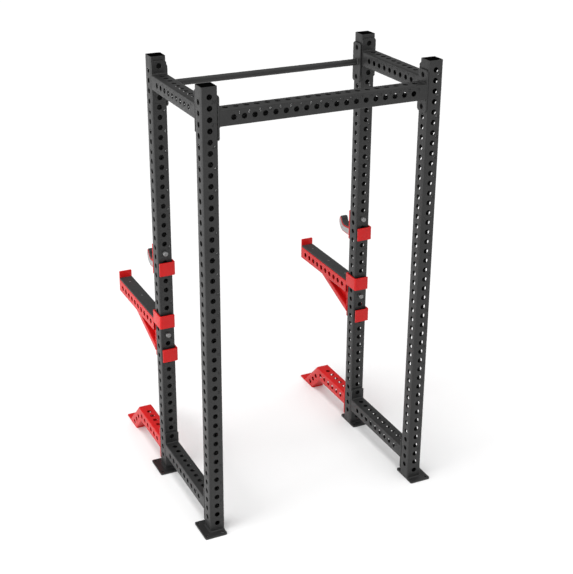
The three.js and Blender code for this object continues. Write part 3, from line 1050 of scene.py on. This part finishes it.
def spotter_arm_pieces():
    """Each piece's part, kind, shape and material."""
    bracket = combined(
        "UNION", mounting_plate(ARM_BOTTOM, ARM_TOP, ARM_PIN_Z),
        strap(1, *ARM_UPPER_STRAP, ARM_UPPER_TAIL), strap(-1, *ARM_LOWER_STRAP, ARM_LOWER_TAIL))
    return [
        ("bracket", "steel", bracket, RED),
        ("beam", "tube", arm_beam(), RED),
        ("end_stop", "steel", arm_end_stop(), RED),
        ("liner", "plastic", arm_liner(), LINER),
        ("brace", "steel", arm_brace(), RED),
        ("pin", "bar", locking_pin(ARM_PIN_Z), ZINC),
        ("upper_pad", "rubber", strap_pad(1, *ARM_UPPER_STRAP), BLACK),
        ("lower_pad", "rubber", strap_pad(-1, *ARM_LOWER_STRAP), BLACK),
    ]


# --- assembly -------------------------------------------------------------------------------

def centre_of(node):
    """The middle of a CAD node's box, in millimetres."""
    low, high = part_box(node)
    return (low + high) / 2 * MM_PER_METRE


uprights = {}
tube = upright_tube()
cap = end_cap()
for end in ("front", "back"):
    for side, sign in (("left", -1), ("right", 1)):
        corner = f"{end}_{side}"
        middle = centre_of(f"{corner}_upright")
        place = move(middle.x, middle.y, 0)
        uprights[corner] = middle
        make_piece(f"{corner}_upright_tube", tube, CHARCOAL, "cage", [f"{corner}_upright"], place)
        make_piece(f"{corner}_floor_plate_steel", floor_plate(sign), CHARCOAL, "cage",
                   [f"{corner}_floor_plate"], place)
        make_piece(f"{corner}_end_cap_plug", cap, BLACK, "cage", [f"{corner}_end_cap"], place)

wide_space = uprights["back_right"].x - uprights["back_left"].x - TUBE
deep_space = uprights["back_left"].y - uprights["front_left"].y - TUBE
long_beam = crossmember(wide_space)
short_beam = crossmember(deep_space)
bar = crossmember(wide_space, BAR_RADIUS)
ALONG_X = (Y, Z, X)
ALONG_Y = (X, Z, FORWARD)
members = [
    ("back_top_beam", long_beam, ALONG_X, wide_space),
    ("pull_up_bar", bar, ALONG_X, wide_space),
    ("left_top_beam", short_beam, ALONG_Y, deep_space),
    ("right_top_beam", short_beam, ALONG_Y, deep_space),
    ("left_bottom_beam", short_beam, ALONG_Y, deep_space),
    ("right_bottom_beam", short_beam, ALONG_Y, deep_space),
]
for name, shape, axes, space in members:
    place = frame_of(*axes, centre_of(name))
    make_piece(f"{name}_steel", shape, CHARCOAL, "cage", [name], place)
    make_piece(f"{name}_bolts", crossmember_bolts(space), BOLT, "cage", [], place)

foot = foot_frame()
foot_bolts = flange_bolts(FLANGE_FRONT, -1, FOOT_Z)
pad_plate = foot_plate()
cup_pieces = j_cup_pieces()
arm_pieces = spotter_arm_pieces()
screws = arm_screws()
for side in ("left", "right"):
    middle = uprights[f"front_{side}"]
    station = move(middle.x, middle.y, 0)
    ahead = frame_of(X, Z, FORWARD, (middle.x, middle.y, 0))
    under = move(middle.x, middle.y - (FOOT_PLATE_START + FOOT_PLATE_END) / 2, 0)
    make_piece(f"{side}_foot_frame_tube", foot, RED, "cage", [f"{side}_foot_frame"], ahead)
    make_piece(f"{side}_foot_bolts", foot_bolts, BOLT, "cage", [], ahead)
    make_piece(f"{side}_foot_plate_steel", pad_plate, RED, "cage", [f"{side}_foot_plate"], under)
    for part, kind, shape, material in cup_pieces:
        make_piece(f"{side}_j_cup_{part}_{kind}", shape, material, f"{side}_j_cup",
                   [f"{side}_j_cup_{part}"], station)
    for part, kind, shape, material in arm_pieces:
        make_piece(f"{side}_arm_{part}_{kind}", shape, material, f"{side}_spotter_arm",
                   [f"{side}_arm_{part}"], station)
    make_piece(f"{side}_arm_liner_screws", screws, STEEL, f"{side}_spotter_arm", [], station)


# --- studio ---------------------------------------------------------------------------------

FLOOR_REACH = 200                 # metres, far enough to meet the backdrop at eye level
FLOOR_GREY = 0.83


def add_floor():
    mesh = bpy.data.meshes.new("floor")
    corners = [(a * FLOOR_REACH, b * FLOOR_REACH, 0) for a, b in ((-1, -1), (1, -1), (1, 1), (-1, 1))]
    mesh.from_pydata(corners, [], [(0, 1, 2, 3)])
    floor = bpy.data.objects.new("floor", mesh)
    material, tree, shader = new_material("studio_floor")
    shader.inputs["Base Color"].default_value = (FLOOR_GREY, FLOOR_GREY, FLOOR_GREY, 1)
    shader.inputs["Roughness"].default_value = 0.9
    shader.inputs["Specular IOR Level"].default_value = 0.0
    mesh.materials.append(material)
    bpy.context.scene.collection.objects.link(floor)


def add_area_light(name, place, target, size, power):
    """A square softbox, with its size in metres and its power in watts."""
    light = bpy.data.lights.new(name, "AREA")
    light.shape = "SQUARE"
    light.size = size
    light.energy = power
    lamp = bpy.data.objects.new(name, light)
    lamp.location = place
    lamp.rotation_euler = (Vector(target) - Vector(place)).to_track_quat("-Z", "Y").to_euler()
    bpy.context.scene.collection.objects.link(lamp)


def add_world(bright, dim):
    """White to the camera. It shines `bright`, but `dim` from -Y, where the flat tops reflect."""
    world = bpy.data.worlds.new("studio")
    world.use_nodes = True
    tree = world.node_tree
    where = tree.nodes.new("ShaderNodeTexCoord")
    parts = tree.nodes.new("ShaderNodeSeparateXYZ")
    fade = tree.nodes.new("ShaderNodeMapRange")
    fade.interpolation_type = "SMOOTHSTEP"
    fade.inputs["From Min"].default_value = -0.85
    fade.inputs["From Max"].default_value = -0.15
    fade.inputs["To Min"].default_value = dim
    fade.inputs["To Max"].default_value = bright
    tree.links.new(where.outputs["Generated"], parts.inputs["Vector"])
    tree.links.new(parts.outputs["Y"], fade.inputs["Value"])
    rays = tree.nodes.new("ShaderNodeLightPath")
    backdrop = tree.nodes.new("ShaderNodeMath")
    backdrop.operation = "MAXIMUM"
    tree.links.new(fade.outputs["Result"], backdrop.inputs[0])
    tree.links.new(rays.outputs["Is Camera Ray"], backdrop.inputs[1])
    background = tree.nodes["Background"]
    background.inputs["Color"].default_value = (1, 1, 1, 1)
    tree.links.new(backdrop.outputs["Value"], background.inputs["Strength"])
    bpy.context.scene.world = world


def add_sun(name, direction, spread, strength):
    """Light from a disc of the sky `spread` degrees across."""
    light = bpy.data.lights.new(name, "SUN")
    light.angle = math.radians(spread)
    light.energy = strength
    lamp = bpy.data.objects.new(name, light)
    lamp.rotation_euler = Vector(direction).to_track_quat("-Z", "Y").to_euler()
    bpy.context.scene.collection.objects.link(lamp)


add_floor()
add_world(bright=0.95, dim=0.25)
add_area_light("side_softbox", place=(5.5, 0.7, 2.1), target=(0, 0, 1.1), size=3, power=174)
add_sun("overhead", direction=(-0.15, -0.1, -1), spread=25, strength=1.35)
bpy.context.scene.view_settings.view_transform = "Standard"
